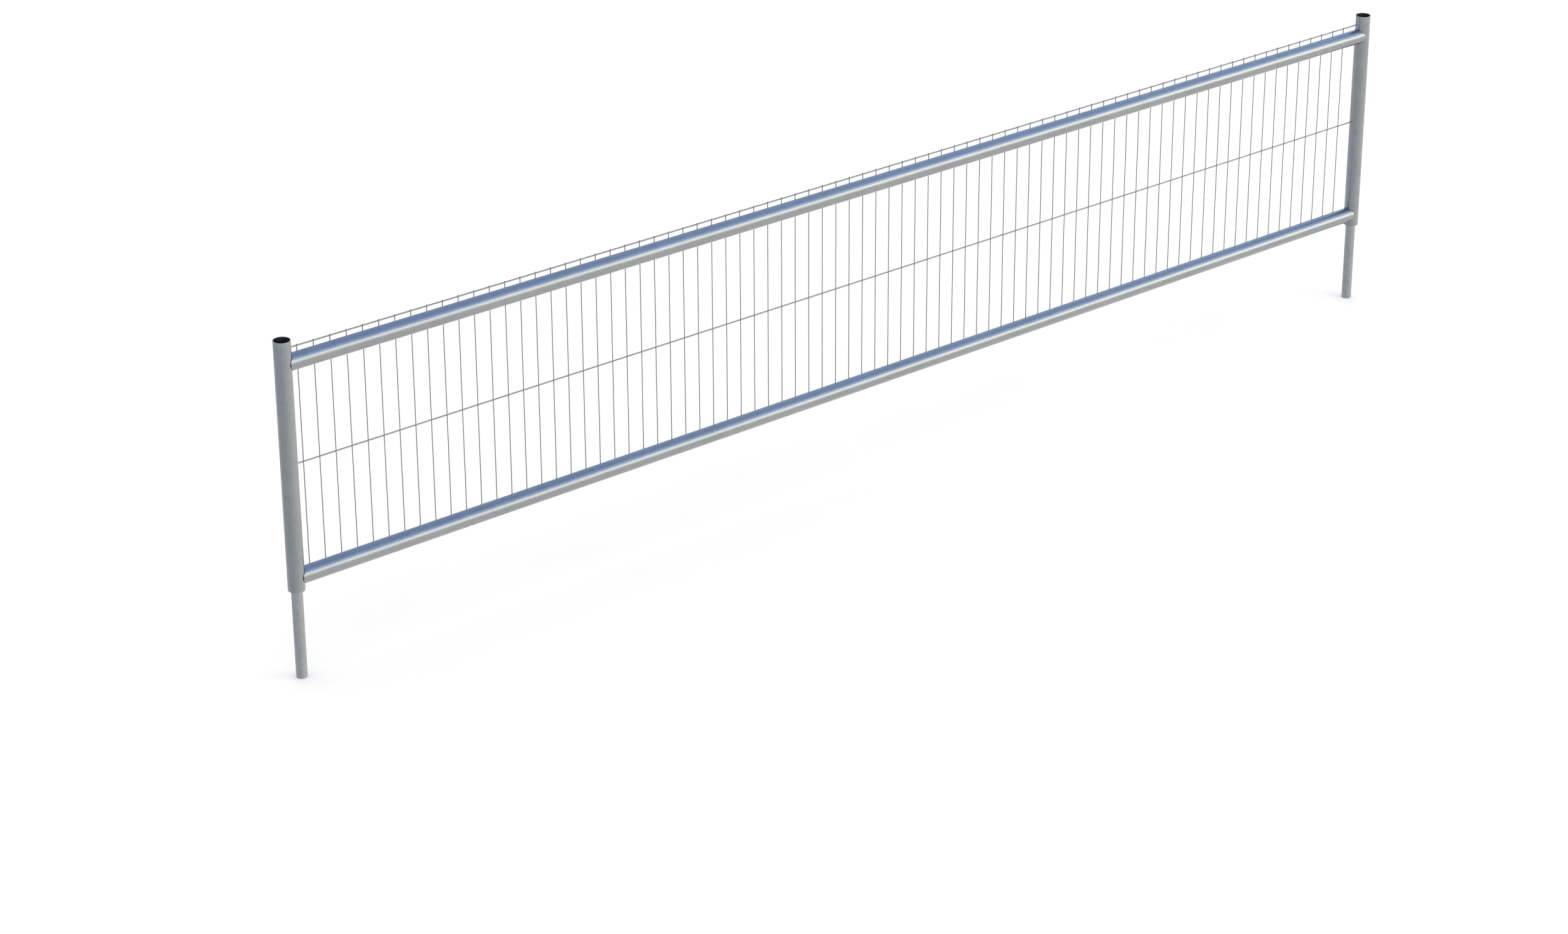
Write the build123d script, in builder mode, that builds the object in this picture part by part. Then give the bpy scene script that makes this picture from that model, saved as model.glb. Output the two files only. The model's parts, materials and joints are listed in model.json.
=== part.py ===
"""A low crowd control barrier: a welded frame of round tube, filled with wire mesh, that stands on two pins.

Frame of the part: the origin is on the left pin's axis, level with the lower ends of the uprights,
which rest on the feet that the pins drop into. +X runs along the barrier to the right upright,
+Y to the back, and +Z up. All sizes are in millimetres.
"""

from build123d import *
import os

os.makedirs("parts", exist_ok=True)

# Frame
overall_width = 3500.0
tube_r = 20.0
tube_wall = 2.0
bore_r = tube_r - tube_wall
axis_spacing = overall_width - 2 * tube_r
upright_height = 608.0
bottom_rail_z = 31.0
rail_spacing = 520.0
top_rail_z = bottom_rail_z + rail_spacing
rim_chamfer = 0.5

# Rail ends: a saddle as wide as the upright, with its thin tips cut off square.
# The tips stop where the rail's inner wall would meet the upright.
rail_tip_x = (tube_r**2 - bore_r**2) ** 0.5

# Pins, and the bushes that hold them in the lower ends of the uprights
pin_r = 13.25
pin_wall = 2.65
pin_length = 220.0
pin_shank_r = 13.0
pin_shank_length = 106.0
pin_tip_chamfer = 1.5
seat_r = 18.4
seat_depth = 110.0
bush_length = 20.0
upper_bush_z = 84.0
bush_chamfer = 0.8

# Mesh: heights are from the axis of the rail below
wire_r = 1.25
line_wire_r = 1.75
wire_count = 79
wire_pitch = 42.9
first_wire_x = 37.5
wires_in_group = 10
hole_clearance = 0.2
depth_in_bottom_rail = 12.0
top_line_height = 33.0
middle_line_height = 273.0
wire_end_past_line = 5.0
wire_hole_r = wire_r + hole_clearance
wire_foot_z = bottom_rail_z + tube_r - depth_in_bottom_rail
top_line_z = top_rail_z + top_line_height
middle_line_z = bottom_rail_z + middle_line_height
wire_top_z = top_line_z + wire_end_past_line
line_wire_y = wire_r + line_wire_r

# Fillet welds on the back half of each rail end. They start a little before the rail's tips.
weld_size = 3.0
weld_overhang = 2.5
weld_start_x = rail_tip_x - weld_overhang

wire_xs = [first_wire_x + i * wire_pitch for i in range(wire_count)]
wire_places = [(x, 0) for x in wire_xs]
side_xs = {"left": 0.0, "right": axis_spacing}
rail_zs = {"top": top_rail_z, "bottom": bottom_rail_z}


def save(part, name):
    """Labels one finished piece and writes its STEP file."""
    part.label = name
    export_step(part, f"parts/{name}.step")


# Uprights: plain tube, open at the top, with the lower end bored out for the bushes
for side, x in side_xs.items():
    with BuildPart() as upright:
        with BuildSketch(Plane.XY.offset(0)):
            with Locations((x, 0)):
                Circle(tube_r)
                Circle(bore_r, mode=Mode.SUBTRACT)
        extrude(amount=upright_height)
        with BuildSketch(Plane.XY.offset(0)):
            with Locations((x, 0)):
                Circle(seat_r)
        extrude(amount=seat_depth, mode=Mode.SUBTRACT)
        top_face = upright.faces().sort_by(Axis.Z)[-1]
        chamfer(top_face.edges(), rim_chamfer)
        outer_foot_edge = upright.edges().group_by(Axis.Z)[0].sort_by(SortBy.RADIUS)[-1]
        chamfer(outer_foot_edge, rim_chamfer)
    save(upright.part, f"{side}_upright")

# Rails: tube with a saddle at each end. Every upright wire passes right through the top rail
# and through the top wall of the bottom rail.
for level, z in rail_zs.items():
    with BuildPart() as rail:
        with BuildSketch(Plane.YZ.offset(rail_tip_x)):
            with Locations((0, z)):
                Circle(tube_r)
                Circle(bore_r, mode=Mode.SUBTRACT)
        extrude(amount=axis_spacing - 2 * rail_tip_x)
        with BuildSketch(Plane.XY.offset(z - 2 * tube_r)):
            with Locations((0, 0), (axis_spacing, 0)):
                Circle(tube_r)
        extrude(amount=4 * tube_r, mode=Mode.SUBTRACT)
        hole_start_z = z - 2 * tube_r if level == "top" else z
        with BuildSketch(Plane.XY.offset(hole_start_z)):
            with Locations(*wire_places):
                Circle(wire_hole_r)
        extrude(amount=z + 2 * tube_r - hole_start_z, mode=Mode.SUBTRACT)
    save(rail.part, f"{level}_rail")

# Pins: tube, with a shank turned down a little for the bushes. The step it leaves bears
# against the lower bush and carries the barrier's weight.
for side, x in side_xs.items():
    with BuildPart() as pin:
        with BuildSketch(Plane.XY.offset(-pin_length)):
            with Locations((x, 0)):
                Circle(pin_r)
        extrude(amount=pin_length)
        with BuildSketch(Plane.XY.offset(0)):
            with Locations((x, 0)):
                Circle(pin_shank_r)
        extrude(amount=pin_shank_length)
        tip_face = pin.faces().sort_by(Axis.Z)[0]
        chamfer(tip_face.edges(), pin_tip_chamfer)
        with BuildSketch(Plane.XY.offset(-pin_length)):
            with Locations((x, 0)):
                Circle(pin_r - pin_wall)
        extrude(amount=pin_length + pin_shank_length, mode=Mode.SUBTRACT)
    save(pin.part, f"{side}_pin")

# Bushes: rings between the pin's shank and the bored end of the upright. The lower one is flush
# with the upright's end.
for side, x in side_xs.items():
    for level, z in (("lower", 0.0), ("upper", upper_bush_z)):
        with BuildPart() as bush:
            with BuildSketch(Plane.XY.offset(z)):
                with Locations((x, 0)):
                    Circle(seat_r)
                    Circle(pin_shank_r, mode=Mode.SUBTRACT)
            extrude(amount=bush_length)
            upper_face = bush.faces().sort_by(Axis.Z)[-1]
            chamfer(upper_face.edges(), bush_chamfer)
        save(bush.part, f"{side}_{level}_bush")

# Line wires: one above the top rail and one along the middle, both behind the upright wires,
# with their ends shaped to the uprights
for name, z in (("top_line_wire", top_line_z), ("middle_line_wire", middle_line_z)):
    with BuildPart() as line_wire:
        with BuildSketch(Plane.YZ):
            with Locations((line_wire_y, z)):
                Circle(line_wire_r)
        extrude(amount=axis_spacing)
        with BuildSketch(Plane.XY.offset(z - tube_r)):
            with Locations((0, 0), (axis_spacing, 0)):
                Circle(tube_r)
        extrude(amount=2 * tube_r, mode=Mode.SUBTRACT)
    save(line_wire.part, name)

# Upright wires, in groups from left to right
for first in range(0, wire_count, wires_in_group):
    with BuildPart() as wires:
        with BuildSketch(Plane.XY.offset(wire_foot_z)):
            with Locations(*wire_places[first : first + wires_in_group]):
                Circle(wire_r)
        extrude(amount=wire_top_z - wire_foot_z)
    save(wires.part, f"vertical_wires_{first // wires_in_group + 1}")

# Welds: each is the space just outside both tubes along the back half of a rail's end. The
# rail's own ring of wall is taken out of it, and so is the rail's bore.
reach = 2 * tube_r
for level, z in rail_zs.items():
    for side, x in side_xs.items():
        inward = 1 if side == "left" else -1
        with BuildPart() as weld:
            with BuildSketch(Plane.XY.offset(z - reach)):
                with Locations((x, 0)):
                    Circle(tube_r + weld_size)
                    Circle(tube_r, mode=Mode.SUBTRACT)
            extrude(amount=2 * reach)
            with BuildSketch(Plane.YZ.offset(x)):
                with Locations((0, z)):
                    Circle(tube_r + weld_size)
            extrude(amount=inward * reach, mode=Mode.INTERSECT)
            with BuildSketch(Plane.XY.offset(z - reach)):
                with Locations((x + inward * (weld_start_x + reach / 2), reach / 2)):
                    Rectangle(reach, reach)
            extrude(amount=2 * reach, mode=Mode.INTERSECT)
            with BuildSketch(Plane.YZ.offset(x + inward * rail_tip_x)):
                with Locations((0, z)):
                    Circle(tube_r)
            extrude(amount=inward * reach, mode=Mode.SUBTRACT)
            with BuildSketch(Plane.YZ.offset(x)):
                with Locations((0, z)):
                    Circle(bore_r)
            extrude(amount=inward * reach, mode=Mode.SUBTRACT)
        save(weld.part, f"{level}_{side}_weld")
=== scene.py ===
import json
import math
import random

import bmesh
import bpy
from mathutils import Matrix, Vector


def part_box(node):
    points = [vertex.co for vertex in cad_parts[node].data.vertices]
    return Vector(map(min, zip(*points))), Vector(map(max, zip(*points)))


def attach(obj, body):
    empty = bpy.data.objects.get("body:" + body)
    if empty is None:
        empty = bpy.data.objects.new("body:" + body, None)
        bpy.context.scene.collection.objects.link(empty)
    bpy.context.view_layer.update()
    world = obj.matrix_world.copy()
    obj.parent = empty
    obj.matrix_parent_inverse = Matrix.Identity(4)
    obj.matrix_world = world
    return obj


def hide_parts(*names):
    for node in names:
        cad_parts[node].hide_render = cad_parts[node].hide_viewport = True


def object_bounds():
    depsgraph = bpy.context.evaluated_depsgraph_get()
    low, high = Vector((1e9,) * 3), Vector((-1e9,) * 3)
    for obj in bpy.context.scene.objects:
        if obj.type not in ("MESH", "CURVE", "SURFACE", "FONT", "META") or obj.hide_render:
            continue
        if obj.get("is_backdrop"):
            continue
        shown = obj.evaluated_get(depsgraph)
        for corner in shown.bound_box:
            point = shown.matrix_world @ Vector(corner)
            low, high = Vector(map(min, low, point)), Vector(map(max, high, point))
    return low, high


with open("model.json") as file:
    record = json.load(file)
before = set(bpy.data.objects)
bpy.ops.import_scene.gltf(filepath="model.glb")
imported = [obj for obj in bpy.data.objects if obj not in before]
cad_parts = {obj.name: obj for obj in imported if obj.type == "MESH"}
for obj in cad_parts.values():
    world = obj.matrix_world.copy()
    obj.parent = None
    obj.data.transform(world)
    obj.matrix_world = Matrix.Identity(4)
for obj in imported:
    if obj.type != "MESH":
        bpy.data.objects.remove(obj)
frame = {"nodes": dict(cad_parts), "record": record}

bpy.context.view_layer.update()
random.seed(7)

MM = 0.001
mounts = {m["name"]: m for m in frame["record"]["mounts"]}

# Uprights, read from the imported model
left_low, left_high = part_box("left_upright")
right_low, right_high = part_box("right_upright")
tube_r = (left_high.x - left_low.x) / 2
bore_r = mounts["left_top_bore"]["dims"]["r_mm"] * MM
wall = tube_r - bore_r
left_x = (left_low.x + left_high.x) / 2
right_x = (right_low.x + right_high.x) / 2
upright_foot_z = left_low.z
upright_top_z = left_high.z

# The bored seat for the bushes. The mount's bore ends a little above it.
SEAT_BELOW_MOUNT = 0.0005
bush_low, bush_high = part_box("left_upper_bush")
seat_r = (bush_high.x - bush_low.x) / 2
seat_top_z = upright_top_z - mounts["left_top_bore"]["dims"]["length_mm"] * MM - SEAT_BELOW_MOUNT

# Pins
PIN_BORE_R = 0.0106
pin_r = mounts["left_pin"]["dims"]["r_mm"] * MM
pin_low, pin_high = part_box("left_pin")
pin_bottom_z = pin_low.z
pin_top_z = pin_high.z

# Rails: the heights of their axes, and how far their tips are from an upright's axis
rail_tip = (tube_r**2 - bore_r**2) ** 0.5
rail_z = {}
for level in ("top", "bottom"):
    low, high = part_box(f"{level}_rail")
    rail_z[level] = (low.z + high.z) / 2

# Line wires
line_low, line_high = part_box("top_line_wire")
line_r = (line_high.z - line_low.z) / 2
line_y = (line_high.y + line_low.y) / 2
line_zs = {}
for name in ("top_line_wire", "middle_line_wire"):
    low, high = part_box(name)
    line_zs[name] = (low.z + high.z) / 2

# Upright wires
WIRES_IN_GROUP = 10
group_names = sorted(n for n in frame["nodes"] if n.startswith("vertical_wires_"))
first_low, first_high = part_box(group_names[0])
second_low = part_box(group_names[1])[0]
wire_r = (first_high.y - first_low.y) / 2
wire_pitch = (second_low.x - first_low.x) / WIRES_IN_GROUP
wire_foot_z = first_low.z
wire_top_z = first_high.z


# ---------------------------------------------------------------- mesh helpers
def piece_from(name, verts, faces, smooth_angle=40):
    """Makes one mesh object that rides on the root body."""
    mesh = bpy.data.meshes.new(name)
    mesh.from_pydata(verts, [], faces)
    mesh.validate()
    work = bmesh.new()
    work.from_mesh(mesh)
    bmesh.ops.recalc_face_normals(work, faces=work.faces)
    work.to_mesh(mesh)
    work.free()
    mesh.shade_smooth()
    mesh.set_sharp_from_angle(angle=math.radians(smooth_angle))
    made = bpy.data.objects.new(name, mesh)
    bpy.context.scene.collection.objects.link(made)
    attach(made, "root")
    return made


def turns(segments):
    """Equal steps round a full turn."""
    return [2 * math.pi * j / segments for j in range(segments)]


def level_ring(x, y, z, x_radius, y_radius, segments):
    """A level ellipse of points round an upright axis."""
    return [(x + x_radius * math.cos(a), y + y_radius * math.sin(a), z) for a in turns(segments)]


def bridge(first, second, count):
    """Quads between two rings of points, which are given by where each starts."""
    quads = []
    for j in range(count):
        k = (j + 1) % count
        quads.append((first + j, first + k, second + k, second + j))
    return quads


def skin(rings):
    """Quads between equal rings of points, in order."""
    count = len(rings[0])
    faces = []
    for i in range(len(rings) - 1):
        faces += bridge(i * count, (i + 1) * count, count)
    return [p for ring in rings for p in ring], faces


def loft(rings):
    """A skin over the rings, with one face over each end."""
    verts, faces = skin(rings)
    count = len(rings[0])
    last = len(verts) - count
    faces.append(tuple(range(count)))
    faces.append(tuple(range(len(verts) - 1, last - 1, -1)))
    return verts, faces


def loft_loop(rings):
    """A skin over the rings, whose last ring joins the first."""
    verts, faces = skin(rings)
    count = len(rings[0])
    faces += bridge(len(verts) - count, 0, count)
    return verts, faces


def lathe_z(x, profile, segments):
    """A closed profile of (radius, z) turned about an upright axis in the barrier's plane."""
    return loft_loop([level_ring(x, 0.0, z, radius, radius, segments) for radius, z in profile])


def round_edge(radius, z, radial, upward, angles):
    """Profile points on an arc that cuts the corner at (radius, z): radial and upward are its signed sizes,
    and its angles run from 0 on the tube's wall to a quarter turn on its end."""
    return [(radius + radial * (1 - math.cos(a)), z + upward * (1 - math.sin(a))) for a in angles]


def join(parts):
    """One list of vertices and faces from several."""
    verts, faces = [], []
    for part_verts, part_faces in parts:
        start = len(verts)
        verts += part_verts
        faces += [tuple(start + i for i in face) for face in part_faces]
    return verts, faces


# ---------------------------------------------------------------- shader nodes
# The colour sockets of a Mix node
MIX_A, MIX_B, MIX_RESULT = 6, 7, 2


def add_node(tree, kind, inputs=(), **settings):
    """Adds a node, with each input linked or set, and gives its outputs."""
    node = tree.nodes.new(kind)
    for name, value in settings.items():
        setattr(node, name, value)
    for name, value in inputs:
        if isinstance(value, bpy.types.NodeSocket):
            tree.links.new(value, node.inputs[name])
        else:
            node.inputs[name].default_value = value
    return node.outputs


def add_mix(tree, share, a, b, blend="MIX"):
    inputs = [("Factor", share), (MIX_A, a), (MIX_B, b)]
    return add_node(tree, "ShaderNodeMix", inputs, data_type="RGBA", blend_type=blend)[MIX_RESULT]


class Nodes:
    """Adds nodes to one new material."""

    def __init__(self, name):
        self.material = bpy.data.materials.new(name)
        self.material.use_nodes = True
        self.tree = self.material.node_tree
        self.shader = self.tree.nodes["Principled BSDF"]
        self.place = self.add("ShaderNodeTexCoord")["Object"]

    def add(self, kind, inputs=(), **settings):
        return add_node(self.tree, kind, inputs, **settings)

    def vary(self, name, output):
        """Links a socket of the shader, whose value varies over the surface."""
        self.tree.links.new(output, self.shader.inputs[name])

    def scaled(self, scale):
        return self.add("ShaderNodeMapping", [("Vector", self.place), ("Scale", scale)])["Vector"]

    def noise(self, vector, scale, detail=4.0, roughness=0.55):
        inputs = [("Vector", vector), ("Scale", scale), ("Detail", detail), ("Roughness", roughness)]
        return self.add("ShaderNodeTexNoise", inputs)["Fac"]

    def cells(self, vector, scale):
        colour = self.add("ShaderNodeTexVoronoi", [("Vector", vector), ("Scale", scale)])["Color"]
        return self.add("ShaderNodeRGBToBW", [("Color", colour)])["Val"]

    def ramp(self, value, low, high, out_low, out_high):
        inputs = [("Value", value), ("From Min", low), ("From Max", high)]
        inputs += [("To Min", out_low), ("To Max", out_high)]
        return self.add("ShaderNodeMapRange", inputs)["Result"]

    def calc(self, operation, a, b=0.0):
        return self.add("ShaderNodeMath", [(0, a), (1, b)], operation=operation)["Value"]

    def mix(self, share, a, b):
        return add_mix(self.tree, share, a, b)

    def scale_colour(self, colour, value):
        return self.add("ShaderNodeVectorMath", [(0, colour), ("Scale", value)], operation="SCALE")["Vector"]

    def split(self):
        return self.add("ShaderNodeSeparateXYZ", [("Vector", self.place)])

    def bump(self, height, distance):
        inputs = [("Strength", 1.0), ("Distance", distance), ("Height", height)]
        return self.add("ShaderNodeBump", inputs)["Normal"]


# ---------------------------------------------------------------- zinc
# The part of each texture's values that is stretched over an effect's whole range
CRYSTAL_SPAN = (0.2, 0.8)
NOISE_SPAN = (0.3, 0.7)
STAIN_SPAN = (0.58, 0.78)
SCRATCH_SPAN = (0.52, 0.66)

CLOUD_SCALE = 9.0
STAIN_SCALE = 18.0
RUN_SCALE = 30.0
GRAIN_SCALE = 900.0
SCRATCH_STRETCH = (700, 700, 9)

# How far each texture changes the colour, from its low values to its high ones
CRYSTAL_SHADE = (-0.04, 0.03)
CLOUD_SHADE = (-0.035, 0.03)
RUN_SHADE = (-0.03, 0.02)
STAIN_SHARE = 0.25

# And the roughness
CRYSTAL_ROUGHNESS = 0.03
RUN_ROUGHNESS = (-0.03, 0.04)

# Heights of the relief, as shares of its depth
BUMP_DEPTH = 0.00006
CRYSTAL_BUMP = 0.08
GRAIN_BUMP = 0.12
RUN_BUMP = 0.3

# Scratches on the pins
SCRATCHED_STEEL = (0.20, 0.19, 0.18, 1.0)
SCRATCH_SHARE = 0.45
SCRATCH_ROUGHNESS = 0.25

# The uprights' cut upper ends
CUT_ZINC = (0.43, 0.385, 0.35, 1.0)
CUT_ROUGHNESS = 0.12
CUT_DEPTH = 0.0009
CUT_FADE = 0.0004

# Painted shade inside the tubes: a dark, duller colour in the bores, standing in for the shade that falls
# there
BORE_PAINTED_SHADE = (0.045, 0.051, 0.055, 1.0)
BORE_ROUGHNESS = 0.35
BORE_FADE_INWARD = 0.0001
BORE_FADE_OUTWARD = 0.0004


def scratched(n, base, rough, full_z, none_z):
    """Fine upright scratches, which fade out between two heights."""
    scratches = n.noise(n.scaled(SCRATCH_STRETCH), 1.0, detail=6.0, roughness=0.7)
    zone = n.ramp(n.split()["Z"], full_z, none_z, 1.0, 0.0)
    share = n.calc("MULTIPLY", n.ramp(scratches, *SCRATCH_SPAN, 0.0, SCRATCH_SHARE), zone)
    base = n.mix(share, base, SCRATCHED_STEEL)
    rough = n.calc("ADD", rough, n.calc("MULTIPLY", share, SCRATCH_ROUGHNESS))
    return base, rough


def cut_at(n, base, rough, end_z):
    """A lighter and rougher rim at a tube's cut upper end."""
    near_end = n.ramp(n.split()["Z"], end_z - CUT_DEPTH, end_z - CUT_DEPTH + CUT_FADE, 0.0, 1.0)
    base = n.mix(near_end, base, CUT_ZINC)
    rough = n.calc("ADD", rough, n.calc("MULTIPLY", near_end, CUT_ROUGHNESS))
    return base, rough


def paint_bore_shade(n, base, rough, radius):
    """Painted shade inside the left and right tubes, within a radius of their axes: a dark, duller colour
    that stands in for the shade in their bores.
    """
    place = n.split()
    distances = []
    for axis_x in (left_x, right_x):
        dx = n.calc("SUBTRACT", place["X"], axis_x)
        square = n.calc("ADD", n.calc("MULTIPLY", dx, dx), n.calc("MULTIPLY", place["Y"], place["Y"]))
        distances.append(n.calc("SQRT", square))
    nearest = n.calc("MINIMUM", *distances)
    inside = n.ramp(nearest, radius - BORE_FADE_INWARD, radius + BORE_FADE_OUTWARD, 1.0, 0.0)
    base = n.mix(inside, base, BORE_PAINTED_SHADE)
    rough = n.calc("ADD", rough, n.calc("MULTIPLY", inside, BORE_ROUGHNESS))
    return base, rough


def zinc(name, colour, dark, roughness, spangle, stretch, metallic=1.0, relief=1.0,
         scratch_zone=None, cut_end=None, shaded_bore_r=None):
    """Hot dip galvanised steel: zinc crystals, cloudy patina, stains, runs along the tube and fine grain,
    with painted shade in the bores where a bore radius is given.
    The crystals' scale is spangle, and stretch is small along the piece, where the runs are long."""
    n = Nodes(name)
    along = n.scaled(stretch)
    crystal = n.cells(n.place, spangle)
    cloud = n.noise(n.place, CLOUD_SCALE, detail=3.0)
    runs = n.noise(along, RUN_SCALE, detail=3.0)
    grain = n.noise(n.place, GRAIN_SCALE, detail=3.0, roughness=0.6)
    stain = n.noise(along, STAIN_SCALE, detail=4.0, roughness=0.6)

    crystal_shade = n.ramp(crystal, *CRYSTAL_SPAN, *(1 + step * relief for step in CRYSTAL_SHADE))
    shade = n.calc("ADD", crystal_shade, n.ramp(cloud, *NOISE_SPAN, *CLOUD_SHADE))
    shade = n.calc("ADD", shade, n.ramp(runs, *NOISE_SPAN, *RUN_SHADE))
    stain_share = n.ramp(stain, *STAIN_SPAN, 0.0, STAIN_SHARE)
    base = n.mix(stain_share, n.scale_colour(colour, shade), (*dark, 1.0))

    swing = CRYSTAL_ROUGHNESS * relief
    crystal_rough = n.ramp(crystal, *CRYSTAL_SPAN, roughness - swing, roughness + swing)
    rough = n.calc("ADD", crystal_rough, n.ramp(runs, *NOISE_SPAN, *RUN_ROUGHNESS))

    if scratch_zone is not None:
        base, rough = scratched(n, base, rough, *scratch_zone)
    if cut_end is not None:
        base, rough = cut_at(n, base, rough, cut_end)
    # Painted shade: the bores of the uprights and the pins are darkened in the colour
    if shaded_bore_r is not None:
        base, rough = paint_bore_shade(n, base, rough, shaded_bore_r)

    height = n.calc("MULTIPLY", crystal, CRYSTAL_BUMP * relief)
    height = n.calc("ADD", height, n.calc("MULTIPLY", grain, GRAIN_BUMP))
    height = n.calc("ADD", height, n.calc("MULTIPLY", runs, RUN_BUMP))
    n.vary("Base Color", base)
    n.vary("Roughness", rough)
    n.vary("Normal", n.bump(height, BUMP_DEPTH))
    n.shader.inputs["Metallic"].default_value = metallic
    return n.material


TUBE_COLOUR = (0.355, 0.358, 0.360)
TUBE_DARK = (0.27, 0.275, 0.28)
WELD_DARK = (0.15, 0.155, 0.16)

upright_zinc = zinc("upright_zinc", TUBE_COLOUR, TUBE_DARK, roughness=0.28, spangle=70.0,
                    stretch=(9, 9, 0.8), relief=0.6, cut_end=upright_top_z, shaded_bore_r=bore_r + 0.4 * MM)
rail_zinc = zinc("rail_zinc", TUBE_COLOUR, TUBE_DARK, roughness=0.25, spangle=80.0,
                 stretch=(0.6, 9, 9), relief=0.7)
pin_zinc = zinc("pin_zinc", (0.412, 0.413, 0.414), (0.30, 0.305, 0.31), roughness=0.32, spangle=110.0,
                stretch=(9, 9, 0.8), scratch_zone=(-0.02, 0.0), shaded_bore_r=PIN_BORE_R + 0.1 * MM)
wire_zinc = zinc("wire_zinc", (0.338, 0.325, 0.315), (0.26, 0.25, 0.245), roughness=0.32, spangle=260.0,
                 stretch=(3, 3, 3), relief=0.25)
line_wire_zinc = zinc("line_wire_zinc", (0.318, 0.292, 0.272), (0.24, 0.225, 0.215), roughness=0.34,
                      spangle=260.0, stretch=(0.5, 4, 4), relief=0.25)
weld_zinc = zinc("weld_zinc", (0.29, 0.30, 0.31), WELD_DARK, roughness=0.46, spangle=320.0,
                 stretch=(4, 4, 4), metallic=0.8)
bush_zinc = zinc("bush_zinc", (0.26, 0.27, 0.28), WELD_DARK, roughness=0.45, spangle=160.0,
                 stretch=(4, 4, 4), metallic=0.85)


def dress(piece, material):
    piece.data.materials.clear()
    piece.data.materials.append(material)


def dress_mesh(piece, material):
    """For the wires and what is on them, which are too fine and dull to be mirrored in the tubes."""
    dress(piece, material)
    piece.visible_glossy = False


# ---------------------------------------------------------------- tubes' weld seams
SEAM_HALF_WIDTH = 0.0016
SEAM_HEIGHT = 0.00022


def seam_lift(a, seam_angle, radius):
    """How far the tube's long weld seam stands proud at angle a."""
    gap = abs((a - seam_angle + math.pi) % (2 * math.pi) - math.pi) * radius
    if gap >= SEAM_HALF_WIDTH:
        return 0.0
    return SEAM_HEIGHT * 0.5 * (1 + math.cos(math.pi * gap / SEAM_HALF_WIDTH))


# ---------------------------------------------------------------- uprights
TUBE_SEGMENTS = 160
EDGE_ROUND = wall * 0.32
EDGE_ANGLES = (0.4, 0.8, 1.2, math.pi / 2)
# How far below the rim the bore has a ring of points, to keep its shading even
BORE_RING_DEPTH = 0.16
OUTSIDE_STEPS = 12


def upright(side, axis_x, seam_angle):
    """A tube with rounded rims, a seat bored out for the bushes and a long weld seam at the back."""
    rim_z = upright_top_z - EDGE_ROUND
    down_outside = upright_foot_z + EDGE_ROUND - rim_z
    profile = [(seat_r, upright_foot_z), (seat_r, seat_top_z), (bore_r, seat_top_z)]
    profile += [(bore_r, upright_top_z - BORE_RING_DEPTH), (bore_r, rim_z)]
    profile += round_edge(bore_r, upright_top_z, EDGE_ROUND, -EDGE_ROUND, EDGE_ANGLES)
    profile += round_edge(tube_r, upright_top_z, -EDGE_ROUND, -EDGE_ROUND, (*reversed(EDGE_ANGLES), 0.0))
    profile += [(tube_r, rim_z + down_outside * i / OUTSIDE_STEPS) for i in range(1, OUTSIDE_STEPS + 1)]
    profile += round_edge(tube_r, upright_foot_z, -EDGE_ROUND, EDGE_ROUND, EDGE_ANGLES)
    verts, faces = lathe_z(axis_x, profile, TUBE_SEGMENTS)
    lifted = []
    for i, (x, y, z) in enumerate(verts):
        radius = profile[i // TUBE_SEGMENTS][0]
        if radius > tube_r - EDGE_ROUND * 0.5:
            a = math.atan2(y, x - axis_x)
            lift = seam_lift(a, seam_angle, tube_r)
            x += lift * math.cos(a)
            y += lift * math.sin(a)
        lifted.append((x, y, z))
    made = piece_from(f"{side}_upright_tube", lifted, faces)
    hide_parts(f"{side}_upright")
    dress(made, upright_zinc)


upright("left", left_x, seam_angle=2.2)
upright("right", right_x, seam_angle=1.1)


# ---------------------------------------------------------------- rails
# The gap at the front of a rail's end, and its share at the rail's top and underside
ROOT_GAP = 0.0007
ROOT_GAP_AT_TOP = 0.35
ROOT_GAP_FADE = 1.6
RAIL_EDGE = wall * 0.16
RAIL_STEPS = 10
RAIL_PLAIN_START = 0.012
RAIL_PLAIN_SPAN = 0.976


def saddle_x(radius, a):
    """How far from the upright's axis the rail's wall starts, at an angle a about the rail from its top.
    The front half, which has no weld, stands a hair off the upright. The gap closes just behind the top
    and the underside."""
    y = radius * math.sin(a)
    share = min(1.0, max(0.0, ROOT_GAP_AT_TOP - ROOT_GAP_FADE * math.sin(a)))
    square = (tube_r + ROOT_GAP * share) ** 2 - y * y
    return max(rail_tip, math.sqrt(max(square, 0.0)))


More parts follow.
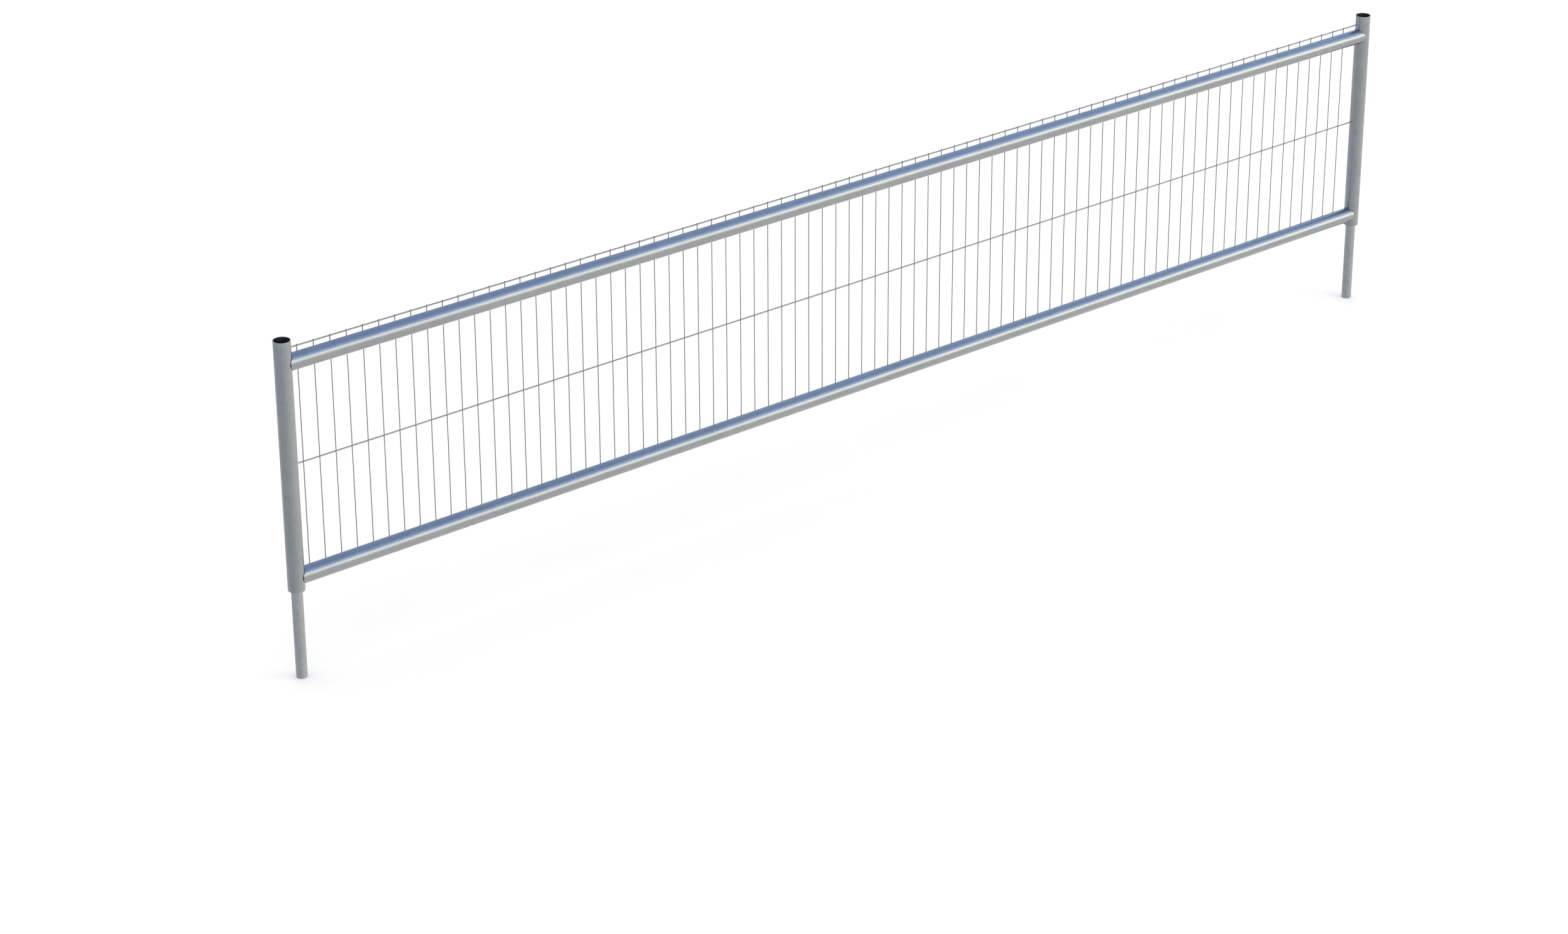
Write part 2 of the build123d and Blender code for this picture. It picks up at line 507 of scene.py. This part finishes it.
def rail(level, seam_angle):
    """A tube with a saddle at each end, a broken outer edge and a long weld seam."""
    z0 = rail_z[level]

    def end_ring(side, radius, inset, with_seam):
        """Where the wall ends at this radius, drawn back by the inset."""
        points = []
        for a in turns(TUBE_SEGMENTS):
            start = saddle_x(radius, a) + inset
            x = left_x + start if side == "left" else right_x - start
            r = radius + (seam_lift(a, seam_angle, radius) if with_seam else 0.0)
            points.append((x, r * math.sin(a), z0 + r * math.cos(a)))
        return points

    def plain_ring(share):
        """A ring of the outside at this share of the way from left to right."""
        x = left_x + (right_x - left_x) * share
        points = []
        for a in turns(TUBE_SEGMENTS):
            r = tube_r + seam_lift(a, seam_angle, tube_r)
            points.append((x, r * math.sin(a), z0 + r * math.cos(a)))
        return points

    rings = [end_ring("left", bore_r, 0.0, False)]
    rings.append(end_ring("left", tube_r - RAIL_EDGE, 0.0, False))
    rings.append(end_ring("left", tube_r, RAIL_EDGE, True))
    rings += [plain_ring(RAIL_PLAIN_START + RAIL_PLAIN_SPAN * i / RAIL_STEPS) for i in range(RAIL_STEPS + 1)]
    rings.append(end_ring("right", tube_r, RAIL_EDGE, True))
    rings.append(end_ring("right", tube_r - RAIL_EDGE, 0.0, False))
    rings.append(end_ring("right", bore_r, 0.0, False))
    verts, faces = loft_loop(rings)
    made = piece_from(f"{level}_rail_tube", verts, faces)
    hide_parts(f"{level}_rail")
    dress(made, rail_zinc)


rail("top", seam_angle=math.radians(118))
rail("bottom", seam_angle=math.radians(75))


# ---------------------------------------------------------------- pins and bushes
PIN_SEGMENTS = 96
PIN_TIP_ROUND = 0.0018
PIN_BORE_ROUND = PIN_TIP_ROUND * 0.4
PIN_SHANK_STEP = 0.00025
PIN_SHANK_CHAMFER = 0.0008
PIN_STEPS = 8


def pin(side, axis_x):
    """A tube with a rounded tip, a load step and a turned shank."""
    shank_r = pin_r - PIN_SHANK_STEP
    profile = [(PIN_BORE_R, pin_top_z), (PIN_BORE_R, pin_bottom_z + PIN_BORE_ROUND)]
    profile += round_edge(PIN_BORE_R, pin_bottom_z, PIN_BORE_ROUND, PIN_BORE_ROUND, (0.5, 1.0, math.pi / 2))
    profile += round_edge(pin_r, pin_bottom_z, -PIN_TIP_ROUND, PIN_TIP_ROUND,
                          (math.pi / 2, 1.25, 0.9, 0.6, 0.3, 0.0))
    profile += [(pin_r, pin_bottom_z * (1 - i / PIN_STEPS)) for i in range(1, PIN_STEPS + 1)]
    profile += [(shank_r, 0.0), (shank_r, pin_top_z - PIN_SHANK_CHAMFER)]
    profile += [(shank_r - PIN_SHANK_CHAMFER, pin_top_z)]
    verts, faces = lathe_z(axis_x, profile, PIN_SEGMENTS)
    made = piece_from(f"{side}_ground_pin", verts, faces)
    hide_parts(f"{side}_pin")
    dress(made, pin_zinc)


for side, axis_x in (("left", left_x), ("right", right_x)):
    pin(side, axis_x)
    for level in ("lower", "upper"):
        dress(frame["nodes"][f"{side}_{level}_bush"], bush_zinc)


# ---------------------------------------------------------------- line wires
LINE_SEGMENTS = 20
LINE_STEPS = 60
FLASH_LENGTH = 0.0035
FLASH_HEIGHT = line_r * 0.45
# The weld flash at a line wire's end: shares of its length and of its height
FLASH_SHAPE = ((0.0, 1.0), (0.35, 0.75), (0.7, 0.25), (1.0, 0.0))
LINE_SINK = 0.0004


def line_wire(name, z):
    """A straight wire along the mesh, with a little weld flash where it meets each upright."""
    upright_x = math.sqrt(tube_r**2 - line_y**2)
    start_x = left_x + upright_x - LINE_SINK
    end_x = right_x - upright_x + LINE_SINK
    span = end_x - start_x - 2 * FLASH_LENGTH
    ends = [(start_x + FLASH_LENGTH * along, FLASH_HEIGHT * height) for along, height in FLASH_SHAPE]
    stations = list(ends)
    stations += [(start_x + FLASH_LENGTH + span * i / LINE_STEPS, 0.0) for i in range(1, LINE_STEPS)]
    stations += [(end_x - (x - start_x), extra) for x, extra in reversed(ends)]
    rings = []
    for x, extra in stations:
        r = line_r + extra
        rings.append([(x, line_y + r * math.sin(a), z + r * math.cos(a)) for a in turns(LINE_SEGMENTS)])
    verts, faces = loft(rings)
    made = piece_from(f"{name}_drawn", verts, faces)
    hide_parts(name)
    dress_mesh(made, line_wire_zinc)


for name, z in line_zs.items():
    line_wire(name, z)


# ---------------------------------------------------------------- upright wires
WIRE_SEGMENTS = 14
WIRE_STEPS = 12
WIRE_BOW = 0.00025
WIRE_CROP = wire_r * 0.35


def group_wire_xs(name):
    """Where the wires of one group stand."""
    low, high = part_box(name)
    count = round((high.x - low.x - 2 * wire_r) / wire_pitch) + 1
    return [low.x + wire_r + i * wire_pitch for i in range(count)]


def upright_wire(x, bow):
    """One straightened wire with cropped, slightly rounded ends and a hair of bow."""
    span = wire_top_z - wire_foot_z
    stations = [(0.0, wire_r - WIRE_CROP), (WIRE_CROP / span, wire_r)]
    stations += [(i / WIRE_STEPS, wire_r) for i in range(1, WIRE_STEPS)]
    stations += [(1 - WIRE_CROP / span, wire_r), (1.0, wire_r - WIRE_CROP)]
    rings = []
    for share, r in stations:
        off = bow * math.sin(math.pi * share)
        rings.append(level_ring(x + off, 0.0, wire_foot_z + span * share, r, r, WIRE_SEGMENTS))
    return loft(rings)


wire_xs = []
for name in group_names:
    xs = group_wire_xs(name)
    wire_xs += xs
    verts, faces = join([upright_wire(x, random.uniform(-1, 1) * WIRE_BOW) for x in xs])
    made = piece_from(f"{name}_drawn", verts, faces)
    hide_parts(name)
    dress_mesh(made, wire_zinc)


# ---------------------------------------------------------------- spot welds and zinc collars
NUGGET_SEGMENTS = 10
NUGGET_ROWS = 6
NUGGET_POLE = 0.02
NUGGET_SHIFT = 0.0001
NUGGET_SIZES = (0.9, 1.15)
# A spot weld's half width, depth and height, the last from the line wire's radius
NUGGET_X = wire_r * 1.35
NUGGET_Y = wire_r * 0.9
NUGGET_Z = line_r * 1.12

COLLAR_SEGMENTS = 16
COLLAR_SIZES = (0.8, 1.2)
COLLAR_FLARE = 0.0012
COLLAR_HEIGHT = 0.0009
COLLAR_SINK = 0.0009
COLLAR_CLEARANCE = 0.00015


def nugget(x, y, z, size):
    """A small flattened bead at one crossing of two wires."""
    rings = []
    for i in range(NUGGET_ROWS + 1):
        b = math.pi * i / NUGGET_ROWS
        r = max(math.sin(b), NUGGET_POLE) * size
        ring_z = z - NUGGET_Z * size * math.cos(b)
        rings.append(level_ring(x, y, ring_z, NUGGET_X * r, NUGGET_Y * r, NUGGET_SEGMENTS))
    return loft(rings)


crossing_y = (line_y - line_r + wire_r) / 2
for name, z in line_zs.items():
    beads = []
    for x in wire_xs:
        size = random.uniform(*NUGGET_SIZES)
        shift = random.uniform(-1, 1) * NUGGET_SHIFT
        beads.append(nugget(x + shift, crossing_y, z, size))
    verts, faces = join(beads)
    made = piece_from(f"{name}_spot_welds", verts, faces, 180)
    dress_mesh(made, weld_zinc)


def collar(x, surface_z, up, flare, height):
    """The zinc that fills the gap round a wire where it enters a rail."""
    inner_r = wire_r * 0.9
    shape = [(inner_r, height),
             (wire_r + COLLAR_CLEARANCE, height),
             (wire_r + flare * 0.25, height * 0.45),
             (wire_r + flare * 0.6, height * 0.15),
             (wire_r + flare, -COLLAR_SINK * 0.2),
             (wire_r + flare, -COLLAR_SINK),
             (inner_r, -COLLAR_SINK)]
    profile = [(r, surface_z + up * h) for r, h in shape]
    return lathe_z(x, profile, COLLAR_SEGMENTS)


for name, level, up in (("top_rail_upper_collars", "top", 1), ("top_rail_lower_collars", "top", -1),
                        ("bottom_rail_collars", "bottom", 1)):
    collars = []
    for x in wire_xs:
        size = random.uniform(*COLLAR_SIZES)
        surface_z = rail_z[level] + up * tube_r
        collars.append(collar(x, surface_z, up, COLLAR_FLARE * size, COLLAR_HEIGHT * size))
    verts, faces = join(collars)
    made = piece_from(name, verts, faces, 60)
    dress_mesh(made, weld_zinc)


# ---------------------------------------------------------------- rail end welds
BEAD_R = 0.0029
BEAD_HEIGHT = 0.85
BEAD_WIDTH = 1.1
BEAD_SINK = 0.35
BEAD_LEAN = 0.35
BEAD_SAMPLES = 300
BEAD_SEGMENTS = 20
# The bead's path: shares of the half turn from the rail's top round its back to its underside
BEAD_START = 0.015
BEAD_SPAN = 0.97
BEAD_TIP_INSET = 0.0012
# Each ripple is a crescent that leads at the middle of the bead
RIPPLE_PITCH = 0.0016
RIPPLE_DEPTH = 0.085
RIPPLE_LEAD = 0.45
# The bead starts and ends thin
TAPER_LEAST = 0.35
TAPER_LENGTH = 0.004
TAPER_SAMPLES = 12


def weld_path(level, axis_x, inward):
    """Points along the corner between the back half of a rail's end and the upright."""
    points = []
    for i in range(BEAD_SAMPLES + 1):
        a = math.pi * (BEAD_START + BEAD_SPAN * i / BEAD_SAMPLES)
        tip = rail_tip - BEAD_TIP_INSET
        reach = math.sqrt(tube_r**2 * math.cos(a) ** 2 + tip**2 * math.sin(a) ** 4)
        height = rail_z[level] + tube_r * math.cos(a)
        points.append(Vector((axis_x + inward * reach, tube_r * math.sin(a), height)))
    return points


def rail_end_weld(level, side):
    """A rippled fillet bead along the back half of one rail end."""
    axis_x, inward = (left_x, 1) if side == "left" else (right_x, -1)
    path = weld_path(level, axis_x, inward)
    rings = []
    travelled = 0.0
    for i, point in enumerate(path):
        ahead = path[min(i + 1, BEAD_SAMPLES)]
        behind = path[max(i - 1, 0)]
        tangent = (ahead - behind).normalized()
        upward = (point.z - rail_z[level]) / tube_r
        outward = Vector((inward * BEAD_LEAN, point.y / tube_r, upward)).normalized()
        across = tangent.cross(outward).normalized()
        outward = across.cross(tangent).normalized()
        if i:
            travelled += (point - path[i - 1]).length
        to_end = (BEAD_SAMPLES - i) / TAPER_SAMPLES
        taper = min(1.0, TAPER_LEAST + travelled / TAPER_LENGTH, TAPER_LEAST + to_end)
        slow_swell = 0.04 * math.sin(travelled * 410)
        quick_swell = 0.03 * math.sin(travelled * 1130 + 1.3)
        thickness = BEAD_R * taper * (1 + slow_swell + quick_swell)
        centre = point - outward * BEAD_R * BEAD_SINK
        ring = []
        for t in turns(BEAD_SEGMENTS):
            wave = (travelled / RIPPLE_PITCH + RIPPLE_LEAD * math.cos(t)) % 1.0
            r = thickness * (1 - RIPPLE_DEPTH * (1 - wave) ** 2)
            rise = outward * math.cos(t) * r * BEAD_HEIGHT
            spread = across * math.sin(t) * r * BEAD_WIDTH
            ring.append(tuple(centre + rise + spread))
        rings.append(ring)
    verts, faces = loft(rings)
    made = piece_from(f"{level}_{side}_weld_bead", verts, faces, 60)
    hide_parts(f"{level}_{side}_weld")
    dress(made, weld_zinc)


for level in ("top", "bottom"):
    for side in ("left", "right"):
        rail_end_weld(level, side)


# ---------------------------------------------------------------- floor
FLOOR_HALF = 60.0
FLOOR_COLOUR = (0.84, 0.84, 0.84)


def make_floor():
    """A plain pale floor, level with the pins' tips. The metal doesn't mirror it."""
    half = FLOOR_HALF
    corners = [(x, y, pin_bottom_z) for x, y in ((-half, -half), (half, -half), (half, half), (-half, half))]
    mesh = bpy.data.meshes.new("studio_floor")
    mesh.from_pydata(corners, [], [(0, 1, 2, 3)])
    floor = bpy.data.objects.new("studio_floor", mesh)
    bpy.context.scene.collection.objects.link(floor)
    n = Nodes("pale_floor")
    speck = n.ramp(n.noise(n.place, 3.0, detail=5.0), *NOISE_SPAN, 0.985, 1.0)
    n.vary("Base Color", n.scale_colour(FLOOR_COLOUR, speck))
    n.shader.inputs["Roughness"].default_value = 0.9
    n.shader.inputs["Specular IOR Level"].default_value = 0.2
    floor.data.materials.append(n.material)
    floor.visible_glossy = False
    floor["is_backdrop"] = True


# ---------------------------------------------------------------- light
BACKDROP_STRENGTH = 1.25
# Colours of the mirrored studio are divided by this, which is then the strength of its light
PEAK = 4.0
# What the metal mirrors, by the angle up from the front horizon, over the top, to the back one
CEILING = [
    (0, (1.30, 1.36, 1.18)),
    (8, (1.70, 1.80, 1.66)),
    (16, (1.96, 2.10, 2.10)),
    (24, (1.93, 2.09, 2.22)),
    (36, (1.056, 1.249, 1.625)),
    (50, (0.615, 0.820, 1.257)),
    (66, (0.433, 0.633, 1.015)),
    (82, (0.336, 0.516, 0.930)),
    (100, (0.330, 0.516, 0.930)),
    (125, (0.37, 0.56, 0.93)),
    (150, (0.37, 0.52, 0.79)),
    (169, (0.42, 0.56, 0.78)),
    (176, (1.00, 1.05, 1.10)),
    (180, (1.00, 1.05, 1.10)),
]
# The ceiling's tint and the ground's colour change from left to right, between two values of x
CEILING_LEFT = (1.0, 1.0, 1.0)
CEILING_RIGHT = (1.50, 1.43, 1.31)
CEILING_CHANGE = (0.48, 0.71)
GROUND_LEFT = (0.625, 0.69, 0.75)
GROUND_RIGHT = (1.09, 1.115, 1.10)
GROUND_CHANGE = (-0.75, 0.95)
# The ground turns into the ceiling between two values of z
HORIZON = (-0.04, -0.01)


def below_peak(colour):
    return (*(c / PEAK for c in colour), 1.0)


def make_world():
    """Plain white for the backdrop and for soft light. The metal mirrors a studio of its own: a blue
    ceiling, a long bright strip in front, low down, and a grey ground that is lighter to the right."""
    world = bpy.data.worlds.new("studio_surroundings")
    bpy.context.scene.world = world
    world.use_nodes = True
    tree = world.node_tree
    tree.nodes.clear()

    def add(kind, inputs=(), **settings):
        return add_node(tree, kind, inputs, **settings)

    def share_of(value, low, high):
        return add("ShaderNodeMapRange", [("Value", value), ("From Min", low), ("From Max", high)])["Result"]

    towards = add("ShaderNodeTexCoord")["Generated"]
    split = add("ShaderNodeSeparateXYZ", [("Vector", towards)])
    forward = add("ShaderNodeMath", [(0, split["Y"]), (1, -1.0)], operation="MULTIPLY")["Value"]
    angle = add("ShaderNodeMath", [(0, split["Z"]), (1, forward)], operation="ARCTAN2")["Value"]
    ceiling = add("ShaderNodeValToRGB", [("Fac", share_of(angle, 0.0, math.pi))])["Color"]
    elements = ceiling.node.color_ramp.elements
    while len(elements) < len(CEILING):
        elements.new(0.5)
    for element, (degrees, colour) in zip(elements, CEILING):
        element.position = degrees / 180
        element.color = below_peak(colour)
    to_right = share_of(split["X"], *CEILING_CHANGE)
    tint = add_mix(tree, to_right, (*CEILING_LEFT, 1.0), (*CEILING_RIGHT, 1.0))
    ceiling = add_mix(tree, 1.0, ceiling, tint, "MULTIPLY")
    to_right = share_of(split["X"], *GROUND_CHANGE)
    ground = add_mix(tree, to_right, below_peak(GROUND_LEFT), below_peak(GROUND_RIGHT))
    studio = add_mix(tree, share_of(split["Z"], *HORIZON), ground, ceiling)
    mirrored = add("ShaderNodeBackground", [("Color", studio), ("Strength", PEAK)])
    white = (1.0, 1.0, 1.0, 1.0)
    plain = add("ShaderNodeBackground", [("Color", white), ("Strength", BACKDROP_STRENGTH)])
    ray = add("ShaderNodeLightPath")["Is Glossy Ray"]
    shaders = [(1, plain["Background"]), (2, mirrored["Background"])]
    chosen = add("ShaderNodeMixShader", [("Fac", ray), *shaders])
    add("ShaderNodeOutputWorld", [("Surface", chosen["Shader"])])


def make_soft_light():
    """A wide lamp at the front right, aimed at the barrier's middle. The metal doesn't mirror it."""
    place = Vector((5.5, -4.5, 4.5))
    aim = Vector((1.7, 0.0, 0.2))
    data = bpy.data.lights.new("soft_key", "AREA")
    data.shape = "SQUARE"
    data.size = 4.0
    data.energy = 60.0
    data.color = (1.0, 0.98, 0.95)
    light = bpy.data.objects.new("soft_key", data)
    bpy.context.scene.collection.objects.link(light)
    light.location = place
    light.rotation_euler = (aim - place).to_track_quat("-Z", "Y").to_euler()
    light.visible_glossy = False


# ---------------------------------------------------------------- camera
def make_camera():
    """A long lens from the front left, above the barrier; the small shift sets it high in the picture."""
    data = bpy.data.cameras.new("camera")
    camera = bpy.data.objects.new("camera", data)
    bpy.context.scene.collection.objects.link(camera)
    data.sensor_width = 36.0
    data.lens = 86.68
    data.shift_x = -0.0193
    data.shift_y = -0.0714
    data.clip_end = 200.0
    yaw = math.radians(40.04)
    pitch = math.radians(23.57)
    camera.location = (-3.962, -6.516, 3.861)
    camera.rotation_euler = (math.pi / 2 - pitch, 0.0, -yaw)
    bpy.context.scene.camera = camera


make_floor()
make_world()
make_soft_light()
make_camera()
bpy.context.scene.view_settings.view_transform = "Standard"

bpy.context.view_layer.update()
low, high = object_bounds()
